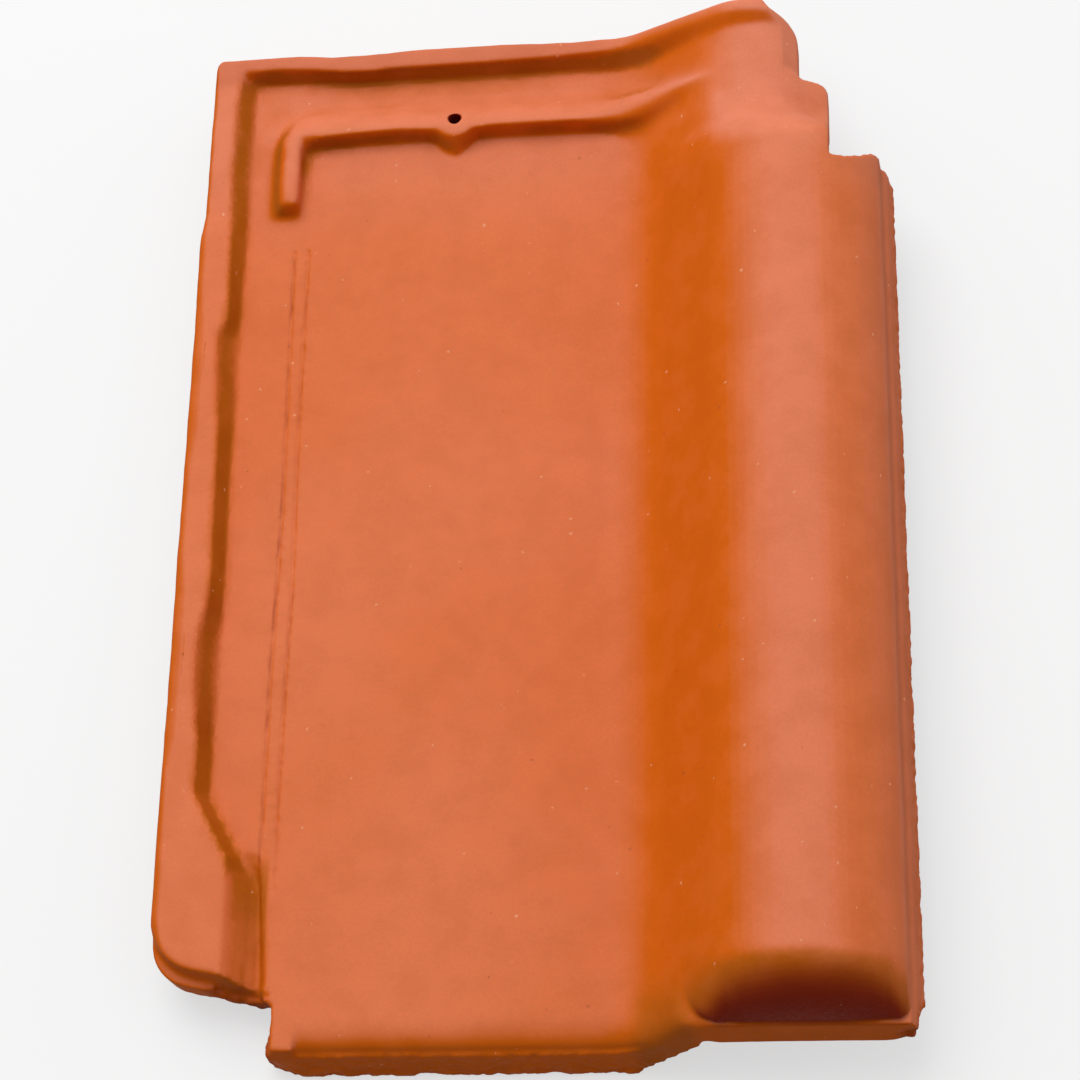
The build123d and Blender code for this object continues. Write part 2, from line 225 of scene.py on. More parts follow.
# the leg of the inner rib: shallow on its left, steep on its right, with a short end
legValues = {
    "height": 8,
    "left": {"foot": -0.6, "top": 0.9},
    "right": {"foot": -2.1, "top": 1.5},
    "end": {"foot": 2.4, "top": 0.2},
    "leftToRight": (31, 35),
    "across": (19, 25, 40.4, 46),
    "along": (310, 316, 345, 352),
    "endAcross": (20, 25, 39, 43),
    "endAlong": (308, 314.5, 320, 328),
}
x, y, z = readTile(tile.data)
above = ease(z, *bodyValues["footFade"])
rise = np.clip(z / legValues["height"], 0, 1)
along = above * band(y, *legValues["along"])
leftPush, rightPush, endPush = (mixed(legValues[side]["foot"], legValues[side]["top"], rise)
                                for side in ("left", "right", "end"))
legPush = mixed(leftPush, rightPush, ease(x, *legValues["leftToRight"]))
x = x + legPush * band(x, *legValues["across"]) * along
y = y + endPush * above * band(y, *legValues["endAlong"]) * band(x, *legValues["endAcross"])
writeTile(tile.data, x, y, z)

# the back of the inner rib and its boss fall into the channel in one long slope
backValues = {
    "height": 8,
    "corner": (42, 345),
    "topReach": (10.8, 6.5),
    "footReach": (17.4, 22.5),
    "straightness": 0.5,
    "lowest": -1.2,
    "fade": (140, 165),
    "holeMiddle": (95.5, 354),
    "holeRadius": 3.2,
}
x, y, z = readTile(tile.data)
aside = np.maximum(backValues["corner"][0] - x, 0)
behind = y - backValues["corner"][1]
turn = np.arctan2(behind, aside)
topEdge, footEdge = (1 / np.hypot(np.cos(turn) / backValues[key][0], np.sin(turn) / backValues[key][1])
                     for key in ("topReach", "footReach"))
away = np.clip((np.hypot(aside, behind) - topEdge) / (footEdge - topEdge), 0, 1)
straight = backValues["straightness"]
slope = backValues["height"] * (1 - straight * away - (1 - straight) * ease(away, 0, 1))
fromHole = np.hypot(x - backValues["holeMiddle"][0], y - backValues["holeMiddle"][1])
inHole = (fromHole < backValues["holeRadius"]) & (z < slope)
moved = (behind > 0) & (z > backValues["lowest"]) & (away > 0) & (away < 1) & ~inHole
z = np.where(moved, z + (slope - z) * (1 - ease(x, *backValues["fade"])), z)
writeTile(tile.data, x, y, z)

# side lock: the rib's inner wall wanders, its outer edge is rounded off and the two lines drift
print("side lock")
sideLockValues = {
    "wallTop": {88: 0, 99: 0, 111: 0.6, 123: -2.0, 135: -3.0, 150: -2.8, 160: 0.3, 177: 1.4, 185: 0.6,
                203: 0.3, 229: -0.1, 242: -1.6, 255: -2.8, 267: -3.2, 273: 1.2, 282: 0.9, 310: -0.6,
                340: -2.2, 366: -1.4},
    "wallFoot": {88: 0, 108: 0, 114: -1.2, 126: 0.2, 150: 0.4, 180: 0.1, 206: -0.6, 232: -0.6,
                 246: 0.2, 259: -0.2, 273: -1.2, 286: -0.6, 314: 0.6, 340: 0.4, 366: 0.4},
    "wallAcross": (4.5, 9.5, 17, 24),
    "wallAlong": (86, 96, 366, 376),
    "bevel": {18: 2.0, 60: 2.6, 82: 2.0, 100: 1.6, 112: 3.4, 165: 3.4, 180: 1.8, 215: 1.8, 230: 3.6,
              268: 3.4, 284: 1.6, 340: 1.6, 366: 2.0, 384: 1.0},
    "bevelStart": 4,
    "bevelCurve": 1.5,
    "bevelAcross": (0.5, 7),
    "outside": {80: 0, 100: 0.1, 300: 0.1, 384: 0.2},
    "outsideAcross": (1.5, 9),
    "leftLine": {56: -0.5, 128: -0.7, 200: 0.1, 300: -0.9},
    "rightLine": {56: 0.3, 128: 0.6, 165: 1.3, 230: 0.3, 300: 0.3},
    "leftLineToRight": (37.4, 39),
    "linesAcross": (31, 34.8, 41.6, 46),
    "linesHeights": (-2, -1.5, 0.5, 1),
    "linesHeadEnd": (306, 310),
}
x, y, z = readTile(tile.data)
above = ease(z, *bodyValues["footFade"])
rise = np.clip(z / headLockValues["ribHeight"], 0, 1)
wall = mixed(follow(y, sideLockValues["wallFoot"]), follow(y, sideLockValues["wallTop"]), rise)
wallPush = wall * above * band(x, *sideLockValues["wallAcross"]) * band(y, *sideLockValues["wallAlong"])
bevelDepth = headLockValues["ribHeight"] - sideLockValues["bevelStart"]
rise = np.clip((z - sideLockValues["bevelStart"]) / bevelDepth, 0, 1)
bevel = (follow(y, sideLockValues["bevel"]) * rise ** sideLockValues["bevelCurve"]
         * (1 - ease(x, *sideLockValues["bevelAcross"])))
outsidePush = follow(y, sideLockValues["outside"]) * (1 - ease(x, *sideLockValues["outsideAcross"]))
drift = mixed(follow(y, sideLockValues["leftLine"]), follow(y, sideLockValues["rightLine"]),
              ease(x, *sideLockValues["leftLineToRight"]))
linePush = (drift * band(x, *sideLockValues["linesAcross"]) * band(z, *sideLockValues["linesHeights"])
            * (1 - ease(y, *sideLockValues["linesHeadEnd"])))
x = x + wallPush + bevel + outsidePush + linePush
writeTile(tile.data, x, y, z)

# tail: the roll's closed end is fuller at its two lower corners, so its lip is a thin line, and the
# corner beside the lobe flares to the left; the ledge's head end is pushed about too
print("tail")
tailValues = {
    "fuller": {178: 0, 181: 9.5, 185: 7.5, 190: 4.6, 196: 2.0, 202: 1.0, 215: 0.4, 240: 0.6, 246: 1.6,
               250: 3.6, 253.5: 4.0, 255: 0},
    "fullerFrom": (15.5, 17.5),
    "fullerAlong": (7.5, 8.5, 12, 31),
    "ledgeLine": {236: 0, 241: -1, 246: 0.3, 250: 2.5, 254: 3.5, 258: 3},
    "ledgeHead": (300, 316, 322, 340),
    "cornerFlare": 2.6,
    "cornerAcross": (30, 37, 42, 52),
    "cornerAlong": (8, 13),
    "cornerHeights": (-9, -2),
}
x, y, z = readTile(tile.data)
fuller = (follow(x, tailValues["fuller"]) * ease(z, *tailValues["fullerFrom"])
          * band(y, *tailValues["fullerAlong"]))
ledgePush = follow(x, tailValues["ledgeLine"]) * band(y, *tailValues["ledgeHead"])
y = y - fuller + ledgePush
flare = (band(x, *tailValues["cornerAcross"]) * (1 - ease(y, *tailValues["cornerAlong"]))
         * (1 - ease(z, *tailValues["cornerHeights"])))
x = x - tailValues["cornerFlare"] * flare
writeTile(tile.data, x, y, z)

# soft blends of wet clay: where they are, and how many times each is smoothed
print("softening")
softenFactor = 0.5
x, y, z = readTile(tile.data)
onTop = ease(z, -1, 0)
aboveBed = ease(z, -9, -6)
onLock = greatest(ease(y, 300, 312), 1 - ease(x, 22, 26)) * onTop * (1 - ease(x, 190, 210))
onLines = band(x, 33, 34, 42.5, 43.5) * band(y, 54, 58, 304, 308)
softenings = {
    "corner of the rims": (30, (1 - ease(np.hypot(x - 13, y - 374), 5, 10)) * onTop),
    "rib's back on the roll": (
        90, band(x, 136, 150, 192, 204) * band(y, 350, 353, 368, 374) * ease(z, 0, 1)),
    "rib's end": (90, band(x, 140, 155, 195, 205) * band(y, 338, 342, 368, 374) * ease(z, 0, 2)),
    "rim on the roll": (14, band(x, 150, 165, 210, 222) * ease(y, 368, 372) * ease(z, 0, 2)),
    "leg": (60, band(x, 19, 23, 42, 46) * band(y, 308, 312, 346, 352) * onTop),
    "rib's edge": (7, band(x, 30, 40, 140, 155) * band(y, 343, 346, 354, 358) * ease(z, 3, 5)),
    "outlet": (5, band(x, 27, 32, 43, 46) * band(y, 20, 23, 66, 82) * aboveBed),
    "ramp": (10, band(x, 17, 25, 39, 46) * band(y, 14, 24, 72, 88) * aboveBed),
    "edge of the pad": (8, (1 - ease(y, 60, 70)) * (1 - ease(x, 22, 28)) * ease(z, 1, 3)),
    "ledge's head end": (14, ease(x, 240, 246) * band(y, 298, 304, 320, 324) * ease(z, 0, 2)),
    "corner of the pan": (
        10, (1 - ease(x, 56, 66)) * (1 - ease(y, 14, 20)) * band(z, -16, -11, 2, 3)),
    "step of the side rib": (40, band(x, 4, 7, 16, 19) * band(y, 262, 266, 275, 279) * ease(z, 0, 1)),
    "foot of the roll's end": (
        150, band(x, 164, 172, 184, 192) * (1 - ease(y, 28, 36)) * band(z, 0, 4, 24, 28)),
    "cut at the head": (7, ease(x, 200, 206) * ease(y, 318, 324) * ease(z, 4, 8)),
    "head and side locks": (5, onLock),
    "all but the lines": (3, ease(z, -9, -3) * (1 - onLines)),
}
for place, (times, weights) in softenings.items():
    print("softening:", place)
    softenWhere(tile, weights, softenFactor, times)

# lumps of hand-laid clay, burrs of the press and broken corners
print("roughening")
roughValues = {
    "lumps": {"size": 30, "strength": 0.5},
    "locks": {"size": 9, "strength": 0.35},
    "lines": {"size": 3, "strength": 0.45},
    "burr": {"size": 3.2, "strength": 1.5, "depth": 3},
    "tornBurr": {"size": 6, "strength": 2.4},
    "corner": {"size": 3.5, "strength": 3.2, "depth": 3, "middle": 0.85},
    "tailReach": (1.5, 6),
    "tailTop": (0, 9),
    "tornTop": (-17, -12),
    "sideReach": (5, 1.5),
    "sideTop": (5, 11),
    "lobeReach": (22, 30),
    "lobeAcross": (41, 43),
    "lobeTop": (1, 4),
    "tornLobeFrom": (18, 24),
    "cornerAt": (258, 6, 4),
    "cornerReach": (4, 13),
}
x, y, z = readTile(tile.data)
onLocks = ease(z, 0, 4) * (1 - ease(x, 150, 170)) * ease(y, 90, 110)
inLines = onLines * band(z, *sideLockValues["linesHeights"])
tailBurr = (1 - ease(y, *roughValues["tailReach"])) * (1 - ease(z, *roughValues["tailTop"]))
sideStart, sideEnd = (tileWidth - inset for inset in roughValues["sideReach"])
sideBurr = ease(x, sideStart, sideEnd) * (1 - ease(z, *roughValues["sideTop"]))
lobeBurr = ((1 - ease(y, *roughValues["lobeReach"])) * (1 - ease(x, *roughValues["lobeAcross"]))
            * (1 - ease(z, *roughValues["lobeTop"])))
tornBurr = greatest(lobeBurr * ease(x, *roughValues["tornLobeFrom"]),
                    tailBurr * (1 - ease(z, *roughValues["tornTop"])))
cornerX, cornerY, cornerZ = roughValues["cornerAt"]
fromCorner = np.hypot(np.hypot(x - cornerX, y - cornerY), z - cornerZ)
nearCorner = 1 - ease(fromCorner, *roughValues["cornerReach"])
roughenWhere(tile, np.ones(len(x)), **roughValues["lumps"])
roughenWhere(tile, onLocks, **roughValues["locks"])
roughenWhere(tile, inLines, **roughValues["lines"])
roughenWhere(tile, greatest(tailBurr, sideBurr, lobeBurr), **roughValues["burr"])
roughenWhere(tile, tornBurr, **roughValues["tornBurr"])
roughenWhere(tile, nearCorner, **roughValues["corner"])

# fewer triangles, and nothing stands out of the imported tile's box
trianglesKept = min(1, bodyValues["mostTriangles"] / (2 * len(tile.data.polygons)))
applyModifier(tile, "DECIMATE", decimate_type="COLLAPSE", ratio=trianglesKept,
              use_collapse_triangulate=True)
print("tile triangles", len(tile.data.polygons))
x, y, z = readTile(tile.data)
writeTile(tile.data, np.clip(x, 0, tileWidth), np.clip(y, 0, tileLength),
          np.clip(z, -standHeight, tileHeight))
makeActive(tile)
bpy.ops.object.shade_smooth()

# painted light and shade: a pale painted sheen on faces turned up, to the head and to the right, towards
# the lamps, and instead of it painted shade in the recesses, on walls and at their feet, on the roll's
# closed end and right side and under its lip
print("paintedSheen")
sheenAndShadeValues = {
    "voxel": 0.003,  # metres, as lift, near and evenOut are
    "rays": 32,
    "lift": 0.0012,
    "near": 0.022,
    "neighbours": 4,
    "evenOut": 0.0005,
    "from": (0.5, 0.6, 0.83),
    "turned": (0.30, 0.80),
    "wall": (0.03, 0.28),
    "inRecess": (0.05, 0.16),
    "lockShade": 1.0,
    "lockAcross": (3, 6, 19, 23),
    "lockTailEnd": (84, 92),
    "lockHeadEnd": (374, 380),
    "padAcross": (3, 6, 35, 37),
    "padAlong": (58, 66, 90, 98),
    "outletShade": 0.9,
    "outletTail": 0.55,
    "outletFade": (20, 60),
    "outletAcross": (21, 29, 38.6, 39.6),
    "outletAlong": (12, 20, 62, 76),
    "outletTop": (4, 8),
    "foot": (0.07, 0.15),
    "footShade": 0.4,
    "endShade": 0.75,
    "endAcross": (165, 185),
    "endFrom": (14, 18),
    "endReach": (32, 50),
    "endTurned": (0.0, 0.3),
    "sideShade": 0.25,
    "sideAcross": (215, 235),
    "sideTurned": (0.15, 0.4, 0.5, 0.8),
    "lipShade": 0.7,
    "lipAcross": (160, 168, 181, 187),
    "lipReach": (12, 30),
    "lipTop": (14, 20),
}


def fanOfRays(count):  # even over a half dome, more of them near its top
    turns = np.arange(count) * math.pi * (3 - math.sqrt(5))
    reach = np.sqrt((np.arange(count) + 0.5) / count)
    return np.stack([np.cos(turns) * reach, np.sin(turns) * reach, np.sqrt(1 - reach ** 2)], axis=1)


# for each point, the share of the half dome over it that the tile itself fills, and its steepness,
# both found on a coarse copy and spread from there to the nearest points
def selfSight(piece, values):
    makeActive(piece)
    bpy.ops.object.duplicate()
    coarse = bpy.context.object
    applyModifier(coarse, "REMESH", mode="VOXEL", voxel_size=values["voxel"], adaptivity=0)
    points = readVertices(coarse.data, "co")
    normals = readVertices(coarse.data, "normal")
    tree = BVHTree.FromPolygons(points.tolist(), [list(face.vertices) for face in coarse.data.polygons])
    helper = np.where(np.abs(normals[:, 2:3]) < 0.9, [[0.0, 0.0, 1.0]], [[1.0, 0.0, 0.0]])
    across = np.cross(helper, normals)
    across /= np.linalg.norm(across, axis=1, keepdims=True)
    along = np.cross(normals, across)
    seen = np.zeros((len(points), 2))
    starts = (points + normals * values["lift"]).tolist()
    for ray in fanOfRays(values["rays"]):
        aims = (across * ray[0] + along * ray[1] + normals * ray[2]).tolist()
        hits = [tree.ray_cast(start, aim, values["near"])[0] is not None
                for start, aim in zip(starts, aims)]
        seen[:, 0] += np.array(hits) / values["rays"]
    seen[:, 1] = 1 - normals[:, 2]
    nearest = KDTree(len(points))
    for index, point in enumerate(points.tolist()):
        nearest.insert(point, index)
    nearest.balance()
    fine = np.empty((len(piece.data.vertices), 2))
    for index, point in enumerate(readVertices(piece.data, "co").tolist()):
        found = nearest.find_n(point, values["neighbours"])
        weights = [1 / (values["evenOut"] + away) for spot, number, away in found]
        fine[index] = sum(seen[item[1]] * weight for item, weight in zip(found, weights)) / sum(weights)
    bpy.data.objects.remove(coarse)
    return fine[:, 0], fine[:, 1]


def writeAttribute(mesh, name, values):
    attribute = mesh.attributes.new(name, "FLOAT", "POINT")
    attribute.data.foreach_set("value", np.asarray(values, np.float32))


nearSight, steep = selfSight(tile, sheenAndShadeValues)
normals = readVertices(tile.data, "normal")
x, y, z = readTile(tile.data)
tailward = -normals[:, 1]
onWall = ease(steep, *sheenAndShadeValues["wall"])
# places given painted shade: the side lock's wall, the pad's wall, the outlet, the roll's closed end and
# right side, under its lip
lockWall = (band(x, *sheenAndShadeValues["lockAcross"]) * ease(y, *sheenAndShadeValues["lockTailEnd"])
            * (1 - ease(y, *sheenAndShadeValues["lockHeadEnd"])))
padWall = band(x, *sheenAndShadeValues["padAcross"]) * band(y, *sheenAndShadeValues["padAlong"])
outletFade = mixed(sheenAndShadeValues["outletTail"], 1, ease(y, *sheenAndShadeValues["outletFade"]))
outlet = band(x, *sheenAndShadeValues["outletAcross"]) * band(y, *sheenAndShadeValues["outletAlong"]) * outletFade
rollEnd = ease(x, *sheenAndShadeValues["endAcross"]) * ease(z, *sheenAndShadeValues["endFrom"])
endFace = ease(tailward, *sheenAndShadeValues["endTurned"]) * (1 - ease(y, *sheenAndShadeValues["endReach"])) * rollEnd
sideFace = band(normals[:, 0], *sheenAndShadeValues["sideTurned"]) * ease(x, *sheenAndShadeValues["sideAcross"])
underLip = (band(x, *sheenAndShadeValues["lipAcross"]) * (1 - ease(y, *sheenAndShadeValues["lipReach"]))
            * (1 - ease(z, *sheenAndShadeValues["lipTop"])))
# painted shade: darker clay on walls in recesses, on the lock and pad walls, in the outlet, at wall
# feet, on the roll's closed end and on its right side
paintedShade = greatest(
    onWall * ease(nearSight, *sheenAndShadeValues["inRecess"]),
    greatest(lockWall, padWall) * onWall * sheenAndShadeValues["lockShade"],
    outlet * (1 - ease(z, *sheenAndShadeValues["outletTop"])) * sheenAndShadeValues["outletShade"],
    ease(nearSight, *sheenAndShadeValues["foot"]) * sheenAndShadeValues["footShade"],
    endFace * sheenAndShadeValues["endShade"],
    sideFace * sheenAndShadeValues["sideShade"])
# painted sheen: paler on faces turned towards the light, from the head and the right
paintedSheen = ease(normals @ np.array(sheenAndShadeValues["from"]), *sheenAndShadeValues["turned"])
writeAttribute(tile.data, "paintedSheen", paintedSheen * (1 - paintedShade) * (1 - underLip))
writeAttribute(tile.data, "paintedShade", greatest(paintedShade, underLip * sheenAndShadeValues["lipShade"]))

# painted highlight: lighter on the raised parts and towards the head, where the light falls, and taken
# off the roll's right side as painted shade
print("paintedHighlight")
highlightValues = {
    "raised": 0.6,
    "raisedFrom": (2, 20),
    "head": 0.5,
    "headFrom": (300, 345),
    "lost": 0.8,
    "lostTurned": (0.1, 0.5),
    "lostAcross": (251, 253),
    "lostAlong": (290, 320),
}
# painted highlight on the crown and the head end, less of it on the roll's right-facing side
paintedHighlight = (highlightValues["raised"] * ease(z, *highlightValues["raisedFrom"])
         + highlightValues["head"] * ease(y, *highlightValues["headFrom"]))
rightSide = (ease(normals[:, 0], *highlightValues["lostTurned"]) * (1 - ease(x, *highlightValues["lostAcross"]))
             * (1 - ease(y, *highlightValues["lostAlong"])))
paintedHighlight *= 1 - highlightValues["lost"] * rightSide
writeAttribute(tile.data, "paintedHighlight", np.clip(paintedHighlight, 0, 1))

# painted shade, dark, on the roll's closed end and in the nail hole; less of it on the side lock's wall,
# on torn clay under the lobe and in short stretches of the two lines; and, less of it too, a plain
# darkening of the rim and of the broken corner at the tail
print("shadeAndDarkening")
shadeAndDarkeningValues = {
    "rollEnd": 0.92,
    "endTurned": (0.2, 0.9),
    "endReach": (26, 42),
    "hole": (2.4, 3.0),
    "holeTop": (6.4, 7.2),
    "rim": 0.16,
    "rimFrom": (371, 375),
    "rimRollEnd": (140, 160),
    "rimTop": (4, 7),
    "sideWall": 0.25,
    "firstStretch": (104, 118, 160, 172),
    "second": 0.5,
    "secondStretch": (238, 248, 264, 270),
    "lobe": 0.4,
    "lobeAcross": (16, 22, 40, 43),
    "lobeReach": (24, 28),
    "lobeTop": (0.5, 2.5),
    "lobeSteep": (0.1, 0.5),
    "corner": 0.55,
    "cornerAt": (254, 4),
    "cornerReach": (2, 7),
    "cornerTop": (9, 14),
    "lines": {"leftLine": (36, 0.45), "rightLine": (40.4, 0.28)},  # place, most
    "lineWidth": (0.2, 0.8),
    "linesAlong": (60, 66, 298, 304),
    "wander": 0.22,
    "patchiness": 1.5,
    "knots": (50, 315, 5),
    "seed": 7,
}
# painted shade on the roll's closed end, where it faces away from the light
tailShade = ease(tailward, *shadeAndDarkeningValues["endTurned"]) * (1 - ease(y, *shadeAndDarkeningValues["endReach"])) * rollEnd
fromHole = np.hypot(x - backValues["holeMiddle"][0], y - backValues["holeMiddle"][1])
# painted shade in the nail hole
holeShade = (1 - ease(fromHole, *shadeAndDarkeningValues["hole"])) * (1 - ease(z, *shadeAndDarkeningValues["holeTop"]))
# darker on the rim's top
rimDarkening = (shadeAndDarkeningValues["rim"] * ease(y, *shadeAndDarkeningValues["rimFrom"]) * (1 - ease(x, *shadeAndDarkeningValues["rimRollEnd"]))
           * ease(z, *shadeAndDarkeningValues["rimTop"]))
darkStretch = greatest(band(y, *shadeAndDarkeningValues["firstStretch"]),
                       shadeAndDarkeningValues["second"] * band(y, *shadeAndDarkeningValues["secondStretch"]))
# painted shade on stretches of the side lock's wall
wallShade = shadeAndDarkeningValues["sideWall"] * lockWall * onWall * darkStretch
# painted shade on the steep faces under the lobe
lobeShade = (shadeAndDarkeningValues["lobe"] * band(x, *shadeAndDarkeningValues["lobeAcross"])
            * (1 - ease(y, *shadeAndDarkeningValues["lobeReach"])) * (1 - ease(z, *shadeAndDarkeningValues["lobeTop"]))
            * ease(steep, *shadeAndDarkeningValues["lobeSteep"]))
# darker at the broken corner of the tail
fromCorner = np.hypot(x - shadeAndDarkeningValues["cornerAt"][0], y - shadeAndDarkeningValues["cornerAt"][1])
cornerDarkening = (shadeAndDarkeningValues["corner"] * (1 - ease(fromCorner, *shadeAndDarkeningValues["cornerReach"]))
              * (1 - ease(z, *shadeAndDarkeningValues["cornerTop"])))
# painted shade in short stretches of the two lines' grooves
chance = np.random.default_rng(shadeAndDarkeningValues["seed"])
knots = np.arange(*shadeAndDarkeningValues["knots"])
lineShade = np.zeros(len(x))
for line, (place, most) in shadeAndDarkeningValues["lines"].items():
    wander = np.interp(y, knots, chance.normal(0, shadeAndDarkeningValues["wander"], len(knots)))
    dark = np.interp(y, knots, most * chance.random(len(knots)) ** shadeAndDarkeningValues["patchiness"])
    across = np.abs(x - place - follow(y, sideLockValues[line]) - wander)
    lineShade = greatest(lineShade, dark * (1 - ease(across, *shadeAndDarkeningValues["lineWidth"])))
lineShade *= band(y, *shadeAndDarkeningValues["linesAlong"]) * band(z, *sideLockValues["linesHeights"])
shadeAndDarkening = greatest(tailShade * shadeAndDarkeningValues["rollEnd"], holeShade, lineShade, rimDarkening,
                wallShade, lobeShade, cornerDarkening)
writeAttribute(tile.data, "shadeAndDarkening", shadeAndDarkening)

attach(tile, "root")
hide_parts("roof_tile")


# effects, as node groups
def newGroup(name, inputs, outputs):
    tree = bpy.data.node_groups.new(name, "ShaderNodeTree")
    for socketName, kind, value in inputs:
        socket = tree.interface.new_socket(name=socketName, in_out="INPUT", socket_type=kind)
        if value is not None:
            socket.default_value = value
    for socketName, kind in outputs:
        tree.interface.new_socket(name=socketName, in_out="OUTPUT", socket_type=kind)
    return tree, tree.nodes.new("NodeGroupInput"), tree.nodes.new("NodeGroupOutput")


def addNode(tree, kind, **settings):
    node = tree.nodes.new(kind)
    for name, value in settings.items():
        setattr(node, name, value)
    return node


def setOrLink(tree, socket, value):  # a number, a colour or another node's output
    if isinstance(value, (int, float)):
        socket.default_value = value
    elif isinstance(value, tuple):
        socket.default_value = (*value, 1)
    else:
        tree.links.new(value, socket)


def addMath(tree, operation, first, second, clamp=False):
    node = addNode(tree, "ShaderNodeMath", operation=operation, use_clamp=clamp)
    setOrLink(tree, node.inputs[0], first)
    setOrLink(tree, node.inputs[1], second)
    return node.outputs[0]


def addNoise(tree, vector, scale, detail, roughness=0.5):
    node = addNode(tree, "ShaderNodeTexNoise")
    tree.links.new(vector, node.inputs["Vector"])
    for name, value in (("Scale", scale), ("Detail", detail), ("Roughness", roughness)):
        setOrLink(tree, node.inputs[name], value)
    return node.outputs["Fac"]


def addRange(tree, value, fromRange, toRange=(0, 1), smooth=True):
    node = addNode(tree, "ShaderNodeMapRange", interpolation_type="SMOOTHSTEP" if smooth else "LINEAR")
    tree.links.new(value, node.inputs["Value"])
    for name, limit in zip(("From Min", "From Max", "To Min", "To Max"), (*fromRange, *toRange)):
        node.inputs[name].default_value = limit
    return node.outputs["Result"]


def addMix(tree, share, first, second, mode="MIX"):
    node = addNode(tree, "ShaderNodeMix", data_type="RGBA", blend_type=mode)
    for place, value in ((0, share), (6, first), (7, second)):  # the factor and the two colours
        setOrLink(tree, node.inputs[place], value)
    return node.outputs[2]


def buildGrain(values):  # sandy grain of the pressed clay
    tree, start, end = newGroup(
        "clayGrain",
        [("Vector", "NodeSocketVector", None), ("Grain Scale", "NodeSocketFloat", values["scale"])],
        [("Grain", "NodeSocketFloat"), ("Height", "NodeSocketFloat")])
    vector, scale = start.outputs["Vector"], start.outputs["Grain Scale"]
    fine = addNoise(tree, vector, scale, 3, 0.6)
    broad = addNoise(tree, vector, addMath(tree, "MULTIPLY", scale, values["broadShare"]), 2)
    tree.links.new(addRange(tree, fine, values["contrast"]), end.inputs["Grain"])
    fineHeight = addMath(tree, "MULTIPLY", fine, values["fineHeight"])
    broadHeight = addMath(tree, "MULTIPLY", broad, values["broadHeight"])
    tree.links.new(addMath(tree, "ADD", fineHeight, broadHeight), end.inputs["Height"])
    return tree


def buildSpecks(values):  # ragged specks of a chosen size, kept in only some of the cells
    tree, start, end = newGroup(
        "claySpecks",
        [("Vector", "NodeSocketVector", None), ("Cells", "NodeSocketFloat", 160.0),
         ("Size", "NodeSocketFloat", 0.1), ("Kept", "NodeSocketFloat", 0.2)],
        [("Mask", "NodeSocketFloat")])
    wobble = addNode(tree, "ShaderNodeTexNoise")
    wobble.inputs["Scale"].default_value = values["wobbleScale"]
    tree.links.new(start.outputs["Vector"], wobble.inputs["Vector"])
    shift = addNode(tree, "ShaderNodeVectorMath", operation="MULTIPLY_ADD")
    shift.inputs[1].default_value = [values["wobble"]] * 3
    tree.links.new(wobble.outputs["Color"], shift.inputs[0])
    tree.links.new(start.outputs["Vector"], shift.inputs[2])
    cells = addNode(tree, "ShaderNodeTexVoronoi", feature="F1")
    tree.links.new(shift.outputs[0], cells.inputs["Vector"])
    tree.links.new(start.outputs["Cells"], cells.inputs["Scale"])
    parts = addNode(tree, "ShaderNodeSeparateColor")
    tree.links.new(cells.outputs["Color"], parts.inputs["Color"])
    varied = addMath(tree, "ADD", parts.outputs["Green"], values["smallest"])
    reach = addMath(tree, "MULTIPLY", start.outputs["Size"], varied)
    fromMiddle = addMath(tree, "DIVIDE", cells.outputs["Distance"], reach)
    dot = addRange(tree, addMath(tree, "SUBTRACT", 1.0, fromMiddle, clamp=True), values["edge"])
    kept = addMath(tree, "LESS_THAN", parts.outputs["Red"], start.outputs["Kept"])
    tree.links.new(addMath(tree, "MULTIPLY", dot, kept), end.inputs["Mask"])
    return tree


def buildClouds(values):  # uneven firing, in broad clouds and small mottles
    tree, start, end = newGroup(
        "fireClouds",
        [("Vector", "NodeSocketVector", None), ("Broad", "NodeSocketFloat", values["broad"]),
         ("Small", "NodeSocketFloat", values["small"])],
        [("Cloud", "NodeSocketFloat"), ("Mottle", "NodeSocketFloat")])
    cloud = addNoise(tree, start.outputs["Vector"], start.outputs["Broad"], 3)
    mottle = addNoise(tree, start.outputs["Vector"], start.outputs["Small"], 4, 0.55)
    tree.links.new(addRange(tree, cloud, values["cloudContrast"]), end.inputs["Cloud"])
    tree.links.new(addRange(tree, mottle, values["mottleContrast"]), end.inputs["Mottle"])
    return tree


def placeGroup(tree, group, vector, values):
    node = addNode(tree, "ShaderNodeGroup", node_tree=group)
    tree.links.new(vector, node.inputs["Vector"])
    for name, value in values.items():
        node.inputs[name].default_value = value
    return node


def readMask(tree, name):  # one of the tile's own attributes
    return addNode(tree, "ShaderNodeAttribute", attribute_name=name).outputs["Fac"]


# fired clay
print("clay")
clayValues = {
    # the two pale colours carry a painted sheen, put where faces turn to the light; the deep colour is
    # the clay where none is painted
    "pale": (0.690, 0.172, 0.066),
    "paleWarm": (0.660, 0.152, 0.048),
    "deep": (0.640, 0.115, 0.002),
    "deepShade": (0.420, 0.098, 0.003),
    # a painted highlight colour, for the raised parts and the head end
    "paintedHighlight": (0.700, 0.208, 0.112),
    # a dark colour: painted shade, and a plain darkening on the rim and at a corner
    "shadeAndDarkening": (0.210, 0.008, 0.001),
    "lime": (0.85, 0.42, 0.25),
    "limeShare": 0.55,
    "ash": (0.30, 0.07, 0.03),
    "ashShare": 0.5,
    "sheenMottle": (-0.06, 0.06),
    "mottleShade": (0.965, 1.035),
    "grainShade": (0.97, 1.03),
    "roughness": (0.60, 0.78),
    "specular": 0.1,
    "bump": 0.25,
    "bumpDepth": 0.0003,
}
